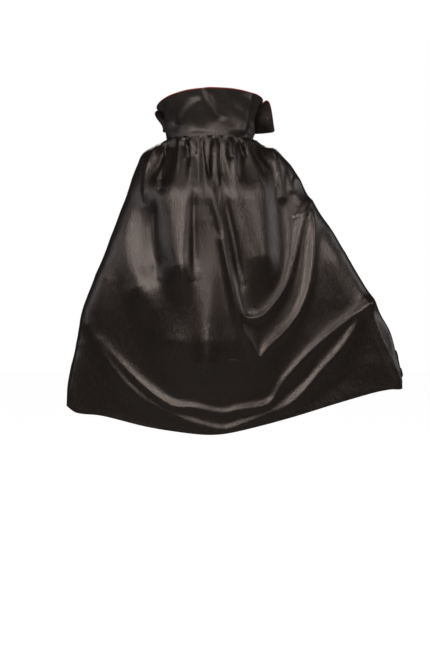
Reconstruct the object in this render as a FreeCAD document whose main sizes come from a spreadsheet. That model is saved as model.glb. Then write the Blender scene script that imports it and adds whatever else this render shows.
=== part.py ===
"""Child's cape with a stand-up collar, worn and held spread.

Frame: millimetres, +Z up, the wearer faces -Y, +X is the wearer's left.
The origin is the middle of the neck opening, in the plane of the neck seam.
"""
import FreeCAD, Part
import math
import os
from FreeCAD import Vector, Placement, Rotation

doc = FreeCAD.newDocument("cape")

# ------------------------------------------------------------------ driving dimensions
dims = doc.addObject("Spreadsheet::Sheet", "Dims")
VALUES = [
    ("neck_half_width", 92.0),
    ("neck_half_depth", 74.0),
    ("throat_half_gap", 22.0),
    ("stand_height", 26.0),
    ("collar_height", 101.0),
    ("collar_tilt", 7.2),
    ("crown_half_width", 113.0),
    ("crown_half_depth", 94.0),
    ("layer_thickness", 1.0),
    ("satin_thickness", 2.0),
    ("hem_width", 12.0),
    ("hem_thickness", 1.2),
    ("facing_width", 13.0),
    ("binding_height", 16.0),
    ("binding_thickness", 1.2),
    ("thread_thickness", 0.6),
    ("stitch_length", 4.0),
    ("stitch_pitch", 8.0),
    ("tab_height", 16.0),
    ("tab_thickness", 1.4),
    ("patch_height", 13.0),
    ("patch_thickness", 0.8),
    ("label_width", 30.0),
    ("label_height", 18.0),
    ("label_thickness", 0.5),
    ("wing_top", -230.0),
    ("wing_axis_offset", 120.0),
    ("wing_cut_angle", 70.0),
    ("wing_gap", 1.0),
    ("fold_clearance", 5.0),
    ("right_point_turn", -14.0),
    ("left_point_turn", -60.0),
]
D = {}
for i, (name, value) in enumerate(VALUES, 1):
    dims.set("A%d" % i, name)
    dims.set("B%d" % i, "%g" % value)
    dims.setAlias("B%d" % i, name)
doc.recompute()
for name, value in VALUES:
    D[name] = float(dims.get(name))

NA, NB = D["neck_half_width"], D["neck_half_depth"]
NODES = []


# ------------------------------------------------------------------ helpers
def origin_plane(body, role):
    for f in body.Origin.OriginFeatures:
        if f.Role == role:
            return f
    raise RuntimeError("no plane " + role)


def new_body(label):
    body = doc.addObject("PartDesign::Body", label)
    body.Label = label
    NODES.append(body)
    return body


def attached_sketch(body, name, role="XY_Plane"):
    sk = body.newObject("Sketcher::SketchObject", name)
    sk.AttachmentSupport = [(origin_plane(body, role), "")]
    sk.MapMode = "FlatFace"
    return sk


def band_profile(sk, a_in, b_in, a_out, b_out, start, end):
    """Closed profile between two elliptical arcs about the origin, from start to end (degrees)."""
    s, e = math.radians(start), math.radians(end)
    flip = b_in > a_in

    def arc(a, b):
        if a >= b:
            return Part.ArcOfEllipse(Part.Ellipse(Vector(0, 0, 0), a, b), s, e), Vector(a * math.cos(s), b * math.sin(s), 0), Vector(a * math.cos(e), b * math.sin(e), 0)
        raise RuntimeError("band wider than deep expected")

    out, o0, o1 = arc(a_out, b_out)
    inn, i0, i1 = arc(a_in, b_in)
    sk.addGeometry(out, False)
    sk.addGeometry(Part.LineSegment(o1, i1), False)
    sk.addGeometry(inn, False)
    sk.addGeometry(Part.LineSegment(i0, o0), False)


def pad(body, sk, length_expr, name):
    p = body.newObject("PartDesign::Pad", name)
    p.Profile = sk
    p.Length = 1.0
    p.setExpression("Length", length_expr)
    sk.Visibility = False
    return p


def band_pad(label, off_in, off_out, start, end, z0, height_expr):
    body = new_body(label)
    sk = attached_sketch(body, label + "_profile")
    sk.AttachmentOffset = Placement(Vector(0, 0, z0), Rotation())
    band_profile(sk, NA + off_in, NB + off_in, NA + off_out, NB + off_out, start, end)
    pad(body, sk, height_expr, label + "_pad")
    return body


def polygon_sketch(body, name, pts, z=0.0):
    sk = attached_sketch(body, name)
    sk.AttachmentOffset = Placement(Vector(0, 0, z), Rotation())
    n = len(pts)
    for i in range(n):
        a, b = pts[i], pts[(i + 1) % n]
        sk.addGeometry(Part.LineSegment(Vector(a[0], a[1], 0), Vector(b[0], b[1], 0)), False)
    import Sketcher
    for i in range(n):
        sk.addConstraint(Sketcher.Constraint("Coincident", i, 2, (i + 1) % n, 1))
    return sk


def rect_pad(label, w_expr, w, h_expr, h, t_expr, place):
    """Rectangle centred on the body's origin in its XY plane, padded along +Z."""
    import Sketcher
    body = new_body(label)
    sk = polygon_sketch(body, label + "_outline", [(-w / 2, -h / 2), (w / 2, -h / 2), (w / 2, h / 2), (-w / 2, h / 2)])
    sk.addConstraint(Sketcher.Constraint("Horizontal", 0))
    sk.addConstraint(Sketcher.Constraint("Vertical", 1))
    sk.addConstraint(Sketcher.Constraint("Horizontal", 2))
    sk.addConstraint(Sketcher.Constraint("Vertical", 3))
    sk.addConstraint(Sketcher.Constraint("Symmetric", 0, 1, 1, 2, -1, 1))
    a = sk.addConstraint(Sketcher.Constraint("DistanceX", 0, 1, 0, 2, w))
    b = sk.addConstraint(Sketcher.Constraint("DistanceY", 1, 1, 1, 2, h))
    sk.setExpression("Constraints[%d]" % a, w_expr)
    sk.setExpression("Constraints[%d]" % b, h_expr)
    pad(body, sk, t_expr, label + "_pad")
    body.Placement = place
    return body


def throat_angle(x):
    """Ellipse parameter (degrees, near -90) of the neck curve where it is x from the middle of the throat."""
    return -math.degrees(math.acos(x / NA))


# ------------------------------------------------------------------ collar, back part: three layers
A0 = throat_angle(D["throat_half_gap"])
A1 = A0 + 3.4
A2 = -12.4
TOP_PLACE = Placement(Vector(0, 0, 0), Rotation())
top_tilt = D["collar_tilt"]
# the crown plane is lower towards the throat
z_mid = D["collar_height"] - D["crown_half_depth"] * math.sin(math.radians(top_tilt))
TOP_PLACE = Placement(Vector(0, 0, z_mid), Rotation(Vector(1, 0, 0), top_tilt))


def collar_layer(label, off_in, off_out):
    body = new_body(label)
    sections = []
    for k, (z, a, b, ang) in enumerate(((0.0, NA, NB, A0), (D["stand_height"], NA, NB, A1),
                                        (None, D["crown_half_width"], D["crown_half_depth"], A2))):
        sk = attached_sketch(body, "%s_section_%d" % (label, k))
        if z is None:
            sk.AttachmentOffset = TOP_PLACE
        else:
            sk.AttachmentOffset = Placement(Vector(0, 0, z), Rotation())
            if k == 1:
                sk.setExpression("AttachmentOffset.Base.z", "Dims.stand_height")
        band_profile(sk, a + off_in, b + off_in, a + off_out, b + off_out, ang, 180.0 - ang)
        sections.append(sk)
    loft = body.newObject("PartDesign::AdditiveLoft", label + "_loft")
    loft.Profile = sections[0]
    loft.Sections = sections[1:]
    loft.Ruled = True
    for sk in sections:
        sk.Visibility = False
    return body


T = D["layer_thickness"]
collar_layer("collar_outer", 0.5 * T, 1.5 * T)
collar_layer("collar_interlining", -0.5 * T, 0.5 * T)
collar_layer("collar_lining", -1.5 * T, -0.5 * T)

# ------------------------------------------------------------------ collar points: three flat layers each, turning on the fold line
# fold line: from the top of the stand at the throat to the front end of the crown
FOLD_LOW = Vector(26.0, -71.5, 26.0)
FOLD_HIGH = Vector(109.5, -25.0, 85.5)
TIP = Vector(140.0, -50.0, 13.0)      # where the right point's tip lies when it is turned right out (mirrored)


def fold_frame(side):
    """Origin, unit axis and unit in-plane direction of a point turned right out; side +1 left, -1 right."""
    lo = Vector(side * FOLD_LOW.x, FOLD_LOW.y, FOLD_LOW.z)
    hi = Vector(side * FOLD_HIGH.x, FOLD_HIGH.y, FOLD_HIGH.z)
    tip = Vector(side * TIP.x, TIP.y, TIP.z)
    e = (hi - lo)
    length = e.Length
    e.normalize()
    r = tip - lo
    along = r.dot(e)
    d = r - e * along
    reach = d.Length
    d.normalize()
    return lo, e, d, length, along, reach


def collar_point(side, name, turn, low, c):
    """Three flat layers; low is how far up the fold line they start, c how far from it they stay."""
    lo, e, d, length, along, reach = fold_frame(side)
    d = Rotation(e, turn * side).multVec(d)
    n = e.cross(d)
    m = FreeCAD.Matrix(e.x, d.x, n.x, lo.x, e.y, d.y, n.y, lo.y, e.z, d.z, n.z, lo.z, 0, 0, 0, 1)
    place = Placement(m)
    # triangle with its fold side held clear of the fold line
    def edge_x(y, p):
        return p[0] + (along - p[0]) * (y / reach)
    pts = [(edge_x(c, (low, 0)), c), (edge_x(c, (length - 3.0, 0)), c),
           (edge_x(reach - 4, (length - 3.0, 0)), reach - 4), (edge_x(reach - 1.0, (low, 0)) + 1.0, reach - 1.0),
           (edge_x(reach - 4, (low, 0)), reach - 4)]
    # outer satin is on the side that faces the neck when the point stands up
    order = ("lining", "interlining", "outer") if side > 0 else ("outer", "interlining", "lining")
    for k, layer in enumerate(order):
        body = new_body("%s_point_%s" % (name, layer))
        sk = polygon_sketch(body, body.Label + "_outline", pts, (-1.5 + k) * T)
        pad(body, sk, "Dims.layer_thickness", body.Label + "_pad")
        body.Placement = place
    return lo, e


left_fold = collar_point(1, "left", D["left_point_turn"], 24.0, 1.1 * D["fold_clearance"])
right_fold = collar_point(-1, "right", D["right_point_turn"], 24.0, 1.1 * D["fold_clearance"])

# ------------------------------------------------------------------ neck seam: inner binding, gathering thread, stitches
band_pad("neck_binding", -3.1 - D["binding_thickness"], -3.1, A0, 180.0 - A0, -8.0, "Dims.binding_height")
band_pad("gathering_thread", -3.0, -3.0 + D["thread_thickness"], A0 + 4.0, 176.0 - A0, -3.0, "Dims.thread_thickness")


def stitches(label, place, a, b, start, end, size, pitch):
    """One row of short stitches along an elliptical arc; size is along, across and up."""
    solids = []
    t0, t1 = math.radians(start), math.radians(end)
    n = 720
    pts = [Vector(a * math.cos(t0 + (t1 - t0) * k / n), b * math.sin(t0 + (t1 - t0) * k / n), 0) for k in range(n + 1)]
    run, nxt = 0.0, pitch
    for k in range(n):
        run += (pts[k + 1] - pts[k]).Length
        if run >= nxt and nxt:
            nxt += pitch
            d = pts[k + 1] - pts[k]
            ang = math.degrees(math.atan2(d.y, d.x))
            box = Part.makeBox(size[0], size[1], size[2], Vector(-size[0] / 2, -size[1] / 2, -size[2] / 2))
            box.Placement = place.multiply(Placement(pts[k], Rotation(Vector(0, 0, 1), ang)))
            solids.append(box)
    f = doc.addObject("Part::Feature", label)
    f.Label = label
    f.Shape = Part.makeCompound(solids)
    NODES.append(f)
    return f


SL, SP, ST = D["stitch_length"], D["stitch_pitch"], D["thread_thickness"]
stitches("neck_seam_stitching", Placement(Vector(0, 0, 2.5), Rotation()), NA + 1.9, NB + 1.9,
         -27.0, 207.0, (SL, ST, ST), SP)
stitches("collar_edge_stitching", TOP_PLACE.multiply(Placement(Vector(0, 0, 0.4), Rotation())),
         D["crown_half_width"], D["crown_half_depth"], A2 + 1.0, 179.0 - A2, (0.8, 3.6, 0.6), SP)

# ------------------------------------------------------------------ throat closure: sewn end, swinging tab, hook and loop patches
TAB_Z = 4.0
TAB_IN, TAB_OUT = 3.3, 3.3 + D["tab_thickness"]
hinge_a = throat_angle(26.0)
band_pad("closure_tab_end", 1.6, 1.6 + D["tab_thickness"], hinge_a + 1.2, throat_angle(46.0), TAB_Z, "Dims.tab_height")
band_pad("closure_tab", TAB_IN, TAB_OUT, -180.0 - throat_angle(48.0), hinge_a - 0.4, TAB_Z, "Dims.tab_height")
pz = TAB_Z + (D["tab_height"] - D["patch_height"]) / 2
band_pad("loop_patch", 1.6, 1.6 + D["patch_thickness"] - 0.15, -180.0 - throat_angle(44.0), -180.0 - throat_angle(24.0), pz, "Dims.patch_height")
band_pad("hook_patch", 2.6, TAB_IN, -180.0 - throat_angle(44.0), -180.0 - throat_angle(24.0), pz, "Dims.patch_height")

# ------------------------------------------------------------------ blank label inside the back of the neck
rect_pad("care_label", "Dims.label_width", D["label_width"], "Dims.label_height", D["label_height"], "Dims.label_thickness",
         Placement(Vector(0, NB - 5.6, -8.0 - D["label_height"] / 2 + 4.0), Rotation(Vector(1, 0, 0), 90)))

# ------------------------------------------------------------------ the draped sheet
# stations of the sheet's middle surface: rows from the neck seam down to the hem,
# columns from the wearer's right front edge round the back to the left front edge
STATIONS = [
    [(-22, -72, 0), (-45, -64, 0), (-72, -46, 0), (-91, -8, 0), (-77, 40, 0), (-44, 65, 0), (0, 74, 0), (44, 65, 0), (77, 40, 0), (91, -8, 0), (72, -46, 0), (45, -64, 0), (22, -72, 0)],
    [(-38, -68, -40), (-66, -57, -33), (-95, -44, -27), (-113, 4, -20), (-86, 51, -31), (-47, 74, -35), (-2, 82, -35), (42, 74, -35), (84, 52, -31), (115, 2, -21), (91, -45, -30), (61, -65, -36), (27, -71, -42)],
    [(-80, -64, -115), (-110, -51, -100), (-144, -38, -85), (-156, 17, -76), (-113, 71, -96), (-60, 95, -106), (-6, 101, -108), (43, 97, -107), (103, 74, -99), (152, 14, -84), (129, -39, -97), (92, -62, -109), (52, -68, -122)],
    [(-147, -54, -216), (-182, -42, -194), (-216, -18, -173), (-208, 33, -172), (-139, 70, -201), (-74, 98, -216), (-13, 107, -220), (47, 102, -218), (114, 74, -209), (183, 30, -191), (181, -25, -199), (140, -49, -215), (97, -59, -232)],
    [(-219, -43, -309), (-256, -31, -283), (-284, 2, -263), (-250, 46, -274), (-165, 67, -307), (-91, 91, -325), (-21, 106, -331), (50, 100, -329), (124, 72, -320), (209, 43, -302), (228, -7, -302), (189, -36, -319), (147, -49, -337)],
    [(-303, -40, -398), (-326, -18, -377), (-325, 16, -366), (-272, 44, -383), (-186, 66, -413), (-108, 87, -432), (-30, 104, -440), (51, 99, -439), (129, 74, -429), (216, 43, -414), (256, 8, -410), (236, -24, -422), (191, -39, -438)],
    [(-366, -41, -474), (-372, -13, -474), (-350, 19, -474), (-286, 39, -492), (-198, 59, -520), (-118, 73, -538), (-36, 86, -547), (46, 85, -547), (127, 68, -539), (216, 42, -526), (270, 12, -522), (270, -20, -528), (233, -37, -540)],
    [(-421, -38, -533), (-406, -10, -556), (-371, 18, -578), (-304, 32, -599), (-213, 50, -626), (-129, 65, -645), (-43, 75, -655), (44, 75, -654), (128, 61, -647), (218, 38, -634), (272, 14, -622), (301, -12, -600), (312, -37, -572)],
]
mid = Part.BSplineSurface()
mid.interpolate([[Vector(*p) for p in row] for row in STATIONS])
U0, U1, V0, V1 = mid.bounds()
# +1 where the surface's own normal points away from the wearer, read at the middle of the back
OUTWARD = 1.0 if mid.normal((U0 + U1) / 2, (V0 + V1) / 2).y > 0 else -1.0


def sheet_point(a, b, off):
    """Point of the sheet at fractions a (neck to hem) and b (right to left), off outward from its middle."""
    u = U0 + (U1 - U0) * a
    v = V0 + (V1 - V0) * b
    return mid.value(u, v) + mid.normal(u, v) * (off * OUTWARD)


def sheet_solid(a0, a1, b0, b1, off_in, off_out, na, nb):
    grids = []
    for off in (off_in, off_out):
        g = [[sheet_point(a0 + (a1 - a0) * i / na, b0 + (b1 - b0) * j / nb, off) for j in range(nb + 1)] for i in range(na + 1)]
        grids.append(g)
    faces = []
    for g in grids:
        s = Part.BSplineSurface()
        s.interpolate(g)
        faces.append(s.toShape())
    sides = []
    for e0 in faces[0].Edges:
        c0 = e0.CenterOfMass
        best = min(faces[1].Edges, key=lambda e: (e.CenterOfMass - c0).Length)
        sides.append(Part.makeRuledSurface(e0, best))
    shell = Part.Shell([f for s in faces + sides for f in s.Faces])
    shell.sewShape()
    solid = Part.Solid(shell)
    if solid.Volume < 0:
        solid.reverse()
    return solid


TS = D["satin_thickness"]
sheet_all = sheet_solid(0.004, 1.0, 0.0, 1.0, -TS / 2, TS / 2, 14, 26)
if not sheet_all.isValid():
    raise RuntimeError("the draped sheet is not a valid solid")

# the sheet's own inner face, from the same points as the solid's; the turned-in cloth lies parallel to it
inner = Part.BSplineSurface()
inner.interpolate([[sheet_point(0.004 + 0.996 * i / 14, j / 26.0, -TS / 2) for j in range(27)] for i in range(15)])
IU0, IU1, IV0, IV1 = inner.bounds()
INWARD = -1.0 if inner.normal((IU0 + IU1) / 2, (IV0 + IV1) / 2).y > 0 else 1.0


def turned_in(a0, a1, b0, b1, na, nb, lift=0.8):
    """Thin solid parallel to the sheet's inner face, a little clear of it, over a range of fractions."""
    def grid(off):
        rows = []
        for i in range(na + 1):
            u = IU0 + (IU1 - IU0) * (a0 + (a1 - a0) * i / na)
            row = []
            for j in range(nb + 1):
                v = IV0 + (IV1 - IV0) * (b0 + (b1 - b0) * j / nb)
                row.append(inner.value(u, v) + inner.normal(u, v) * (off * INWARD))
            rows.append(row)
        return rows
    faces = []
    for off in (lift, lift + D["hem_thickness"]):
        s = Part.BSplineSurface()
        s.interpolate(grid(off))
        faces.append(s.toShape())
    sides = []
    for e0 in faces[0].Edges:
        c0 = e0.CenterOfMass
        best = min(faces[1].Edges, key=lambda e: (e.CenterOfMass - c0).Length)
        sides.append(Part.makeRuledSurface(e0, best))
    shell = Part.Shell([f for s in faces + sides for f in s.Faces])
    shell.sewShape()
    solid = Part.Solid(shell)
    if solid.Volume < 0:
        solid.reverse()
    return solid


# the hem and the front facings are the same cloth turned in and stitched down
hw = D["hem_width"] / 652.0
fw = D["facing_width"] / 900.0
hem_all = turned_in(1.0 - hw, 0.9990, fw + 0.012, 1.0 - fw - 0.012, 2, 60)
right_facing_all = turned_in(0.035, 0.9990, 0.0010, fw + 0.006, 40, 2)
left_facing_all = turned_in(0.060, 0.9850, 1.0 - fw - 0.006, 0.9990, 40, 2, 1.2)
for name, shape in (("hem", hem_all), ("right facing", right_facing_all), ("left facing", left_facing_all)):
    if not shape.isValid():
        raise RuntimeError("not a valid solid: " + name)
    print("%-14s shared with the sheet %.3f" % (name, shape.common(sheet_all).Volume))

WX, WZ, WG, WA = D["wing_axis_offset"], D["wing_top"], D["wing_gap"], D["wing_cut_angle"]


def wing_box(side, grow):
    """Block that holds one wing: below the wing top, on the outer and front side of a vertical plane through its axis."""
    ang = WA if side > 0 else 180.0 - WA
    box = Part.makeBox(1200, 1200, 900, Vector(-600, -1200 if side > 0 else 0, -900))
    # local X runs along the cutting plane, the wing is at local -Y (left) or +Y (right)
    place = Placement(Vector(side * WX, 0, WZ), Rotation(Vector(0, 0, 1), ang))
    box.Placement = place
    if grow:
        shift = Rotation(Vector(0, 0, 1), ang).multVec(Vector(0, grow if side > 0 else -grow, 0))
        box.translate(Vector(shift.x, shift.y, grow))
    # keep each block on its own side of the body
    half = Part.makeBox(900, 1600, 1200, Vector(20 if side > 0 else -920, -800, -1000))
    return box.common(half)


left_block, right_block = wing_box(1, 0), wing_box(-1, 0)
left_grown, right_grown = wing_box(1, WG), wing_box(-1, WG)
left_trim, right_trim = wing_box(1, 4 * WG), wing_box(-1, 4 * WG)


def largest(shape):
    solids = sorted(shape.Solids, key=lambda q: -q.Volume)
    if not solids:
        raise RuntimeError("nothing left")
    return solids


def feature(label, shape):
    solids = [q for q in shape.Solids if q.Volume > 2.0]
    f = doc.addObject("Part::Feature", label)
    f.Label = label
    f.Shape = solids[0] if len(solids) == 1 else Part.makeCompound(solids)
    NODES.append(f)
    print("%-22s solids %d volume %.0f" % (label, len(solids), f.Shape.Volume))
    return f


feature("back_panel", sheet_all.cut(left_grown).cut(right_grown))
feature("left_wing_panel", sheet_all.common(left_block))
feature("right_wing_panel", sheet_all.common(right_block))
feature("back_hem", hem_all.cut(left_trim).cut(right_trim))
feature("left_wing_hem", hem_all.common(left_block))
feature("right_wing_hem", hem_all.common(right_block))
feature("left_neck_facing", left_facing_all.cut(left_trim))
feature("left_front_facing", left_facing_all.common(left_block))
feature("right_neck_facing", right_facing_all.cut(right_trim))
feature("right_front_facing", right_facing_all.common(right_block))

doc.recompute()

# ------------------------------------------------------------------ check and write
for ob in doc.Objects:
    if any(s in ("Invalid", "Error") for s in ob.State):
        raise RuntimeError("failed object " + ob.Name + " " + str(ob.State))
for ob in NODES:
    sh = ob.Shape
    if sh.isNull() or not sh.isValid() or not sh.Solids or sh.Volume <= 0:
        raise RuntimeError("bad shape " + ob.Label)
os.makedirs("parts", exist_ok=True)
for old in os.listdir("parts"):
    if old.endswith(".step"):
        os.remove(os.path.join("parts", old))
for ob in NODES:
    ob.Shape.exportStep(os.path.join("parts", ob.Label + ".step"))
lo = [min(getattr(o.Shape.BoundBox, k) for o in NODES) for k in ("XMin", "YMin", "ZMin")]
hi = [max(getattr(o.Shape.BoundBox, k) for o in NODES) for k in ("XMax", "YMax", "ZMax")]
print("nodes", len(NODES), "box", [round(v, 1) for v in lo], [round(v, 1) for v in hi])
for side, (p, e) in (("left", left_fold), ("right", right_fold)):
    print("fold", side, [round(v / 1000, 5) for v in (p.x, p.y, p.z)], [round(v, 5) for v in (e.x, e.y, e.z)])
print("tab hinge", round(NA * math.cos(math.radians(hinge_a)), 2), round(NB * math.sin(math.radians(hinge_a)), 2))
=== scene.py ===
"""Looks of a child's satin cape with a stand-up collar. Everything is in metres, in the frame of the CAD model:
+Z up, the wearer faces -Y, +X is the wearer's left, the origin is the middle of the neck opening."""
import bpy, math
import numpy as np
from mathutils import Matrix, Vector


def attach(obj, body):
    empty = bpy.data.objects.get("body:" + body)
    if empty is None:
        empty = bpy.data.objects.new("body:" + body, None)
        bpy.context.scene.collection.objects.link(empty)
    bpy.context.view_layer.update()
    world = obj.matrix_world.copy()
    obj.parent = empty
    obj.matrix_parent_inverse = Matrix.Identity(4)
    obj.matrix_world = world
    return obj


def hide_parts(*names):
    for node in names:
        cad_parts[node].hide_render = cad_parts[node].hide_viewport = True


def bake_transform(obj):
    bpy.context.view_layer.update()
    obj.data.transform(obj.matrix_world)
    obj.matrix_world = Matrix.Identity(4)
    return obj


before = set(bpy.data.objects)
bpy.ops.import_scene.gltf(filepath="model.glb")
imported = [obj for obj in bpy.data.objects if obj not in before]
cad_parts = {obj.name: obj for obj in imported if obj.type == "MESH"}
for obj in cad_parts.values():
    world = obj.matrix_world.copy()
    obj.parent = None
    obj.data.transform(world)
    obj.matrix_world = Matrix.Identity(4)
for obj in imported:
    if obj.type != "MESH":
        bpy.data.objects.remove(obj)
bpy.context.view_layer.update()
scene = bpy.context.scene

# ------------------------------------------------------------------ camera
CAM = np.array([-.011, 3.5, -.36]); AIM = np.array([-.011, 0.0, -.394]); HALF = math.radians(11.2)
cam = bpy.data.cameras.new("camera"); cam.sensor_fit = "AUTO"; cam.angle = 2*HALF
cam_ob = bpy.data.objects.new("camera", cam); scene.collection.objects.link(cam_ob)
cam_ob.location = CAM
cam_ob.rotation_euler = (Vector(AIM)-Vector(CAM)).to_track_quat("-Z", "Y").to_euler()
scene.camera = cam_ob

FWD = (AIM-CAM)/np.linalg.norm(AIM-CAM)
RIGHT = np.array([-1.0, 0, 0]); UP = np.cross(RIGHT, FWD)
DIST = 3.5


def seen(P):
    """Where points appear in the plane through the aim, square to the view: (left, up) in metres."""
    d = P-CAM
    k = DIST/(d@FWD)
    return -(d@RIGHT)*k, (d@UP)*k, k


# ------------------------------------------------------------------ cloth solver (position based, on a grid)
F4 = np.float32
NECK_A, NECK_B, GAP = 0.092, 0.074, 0.022
SHEET_W, SHEET_L, EDGE_L = 0.920, 0.640, 0.668
CORNER_L = np.array([0.312, -0.037, -0.572]); CORNER_R = np.array([-0.421, -0.038, -0.533])
HOLD, HEMHOLD = .045, .06
HEM_DIR_L = np.array([-.088, .05, -.030]); HEM_DIR_R = np.array([.079, .045, -.024])
CAPSULES = [
    ((0, .005, -.03), .050, (0, -.01, .10), .050),
    ((0, .012, -.052), .048, (.112, .002, -.060), .040),
    ((0, .012, -.052), .048, (-.112, .002, -.060), .040),
    ((-.060, .015, -.135), .080, (.060, .015, -.135), .080),
    ((-.045, .005, -.300), .080, (.045, .005, -.300), .080),
    ((-.050, .015, -.440), .085, (.050, .015, -.440), .085),
    ((-.055, .010, -.520), .075, (-.065, .000, -.80), .060),
    ((.055, .010, -.520), .075, (.065, .000, -.80), .060),
    ((.112, .0, -.060), .040, (.212, .012, -.300), .034),
    ((.212, .012, -.300), .034, (.262, .000, -.455), .024),
    ((-.112, .0, -.060), .040, (-.262, .012, -.262), .034),
    ((-.262, .012, -.262), .034, (-.350, .000, -.425), .024),
]


def neck_curve(s):
    th = np.linspace(math.pi/2, -math.pi/2, 3001)
    p = np.stack([NECK_A*np.cos(th), NECK_B*np.sin(th)], 1)
    p = p[(p[:, 0] >= GAP) | (th > 0)]
    run = np.concatenate([[0], np.cumsum(np.linalg.norm(np.diff(p, axis=0), axis=1))])
    a = np.clip(np.abs(s), 0, 1)*run[-1]
    x, y = np.interp(a, run, p[:, 0]), np.interp(a, run, p[:, 1])
    n = np.stack([x/NECK_A**2, y/NECK_B**2], -1); n /= np.linalg.norm(n, axis=-1, keepdims=True)
    g = np.where(np.asarray(s) < 0, -1.0, 1.0)
    return x*g, y, n[:, 0]*g, n[:, 1]


def throat(side):
    return np.array([side*GAP, -NECK_B*math.sqrt(1-(GAP/NECK_A)**2), 0.0])


def start_shape(nu, nv, folds=17, seed=3):
    t = np.linspace(-1, 1, nu+1); a = np.abs(t); g = np.where(t < 0, -1.0, 1.0)
    v = np.linspace(0, SHEET_L, nv+1)
    x, y, nx, ny = neck_curve(t)
    top = np.stack([x, y, 0*x], -1); out = np.stack([nx, ny, 0*nx], -1)

    def ring(xl, xr, yb, yf, xfl, xfr, zb, zl, zr, zf, a1=.66):
        k = np.clip(a/a1, 0, 1)*math.pi/2
        xs, xf, zs = np.where(t > 0, xl, xr), np.where(t > 0, xfl, xfr), np.where(t > 0, zl, zr)
        q = np.clip((a-a1)/(1-a1), 0, 1)
        return np.stack([g*(xs*np.sin(k)+(xf-xs)*q**1.6), yb*np.cos(k)+yf*q**.8, zb+(zs-zb)*np.sin(k)**2+(zf-zs)*q], -1)
    rings = [(0.0, top),
             (.075, ring(.160, .160, .098, -.082, .062, .068, -.040, -.042, -.042, -.055)),
             (.330, ring(.262, .305, .125, -.085, .165, .220, -.300, -.295, -.285, -.285)),
             (SHEET_L, ring(CORNER_L[0], -CORNER_R[0], .150, CORNER_L[1], CORNER_L[0], -CORNER_R[0], -.640, -.580, -.545, -.545, a1=.90))]
    e = np.clip((a-.93)/.07, 0, 1)[:, None]
    C = np.where(t[:, None] > 0, CORNER_L, CORNER_R)
    T0 = np.stack([g*GAP, 0*t+throat(1)[1], 0*t], -1)
    rng = np.random.default_rng(seed)
    wob = np.cumsum(rng.normal(0, 1, 2049)); wob -= np.linspace(wob[0], wob[-1], 2049)
    wob = np.convolve(wob, np.ones(145)/145, 'same'); wob *= .35/np.abs(wob).max()
    wob = np.interp(t, np.linspace(-1, 1, 2049), wob)
    ph = math.pi*folds*(t+1)+2*math.pi*wob
    amp = 1+.35*np.sin(ph*.37+1)
    P = np.zeros((nv+1, nu+1, 3))
    for i, vv in enumerate(v):
        for (v0, A0), (v1, A1) in zip(rings[:-1], rings[1:]):
            if vv <= v1+1e-9:
                q = A0+(A1-A0)*((vv-v0)/(v1-v0)); break
        q = q*(1-e)+(T0+(C-T0)*(vv/SHEET_L))*e
        fade = max(0.0, 1-vv/.45)
        A = (.0035+.0075*min(1, vv/.04))*fade**.8
        P[i] = q+out*(A*amp*np.cos(ph))[:, None]*(1-e)
    return P


def hold(P):
    """Pins: the neck row, and the front edge by each lower corner, where the hands are."""
    n, m = P.shape[:2]
    free = np.ones((n, m)); free[0] = 0
    v = np.linspace(0, EDGE_L, n)
    for side, C, j in ((-1, CORNER_R, 0), (1, CORNER_L, m-1)):
        d = throat(side)-C; d /= np.linalg.norm(d)
        for r in np.where(v > EDGE_L-HOLD)[0]:
            P[r, j] = C+d*(EDGE_L-v[r]); free[r, j] = 0
        h = HEM_DIR_R if side < 0 else HEM_DIR_L; h = h/np.linalg.norm(h)
        us = np.linspace(0, SHEET_W, m)
        for i in np.where(us < HEMHOLD)[0]:
            jj = i if side < 0 else m-1-i
            P[-1, jj] = C+h*us[i]; free[-1, jj] = 0
    return free


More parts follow.
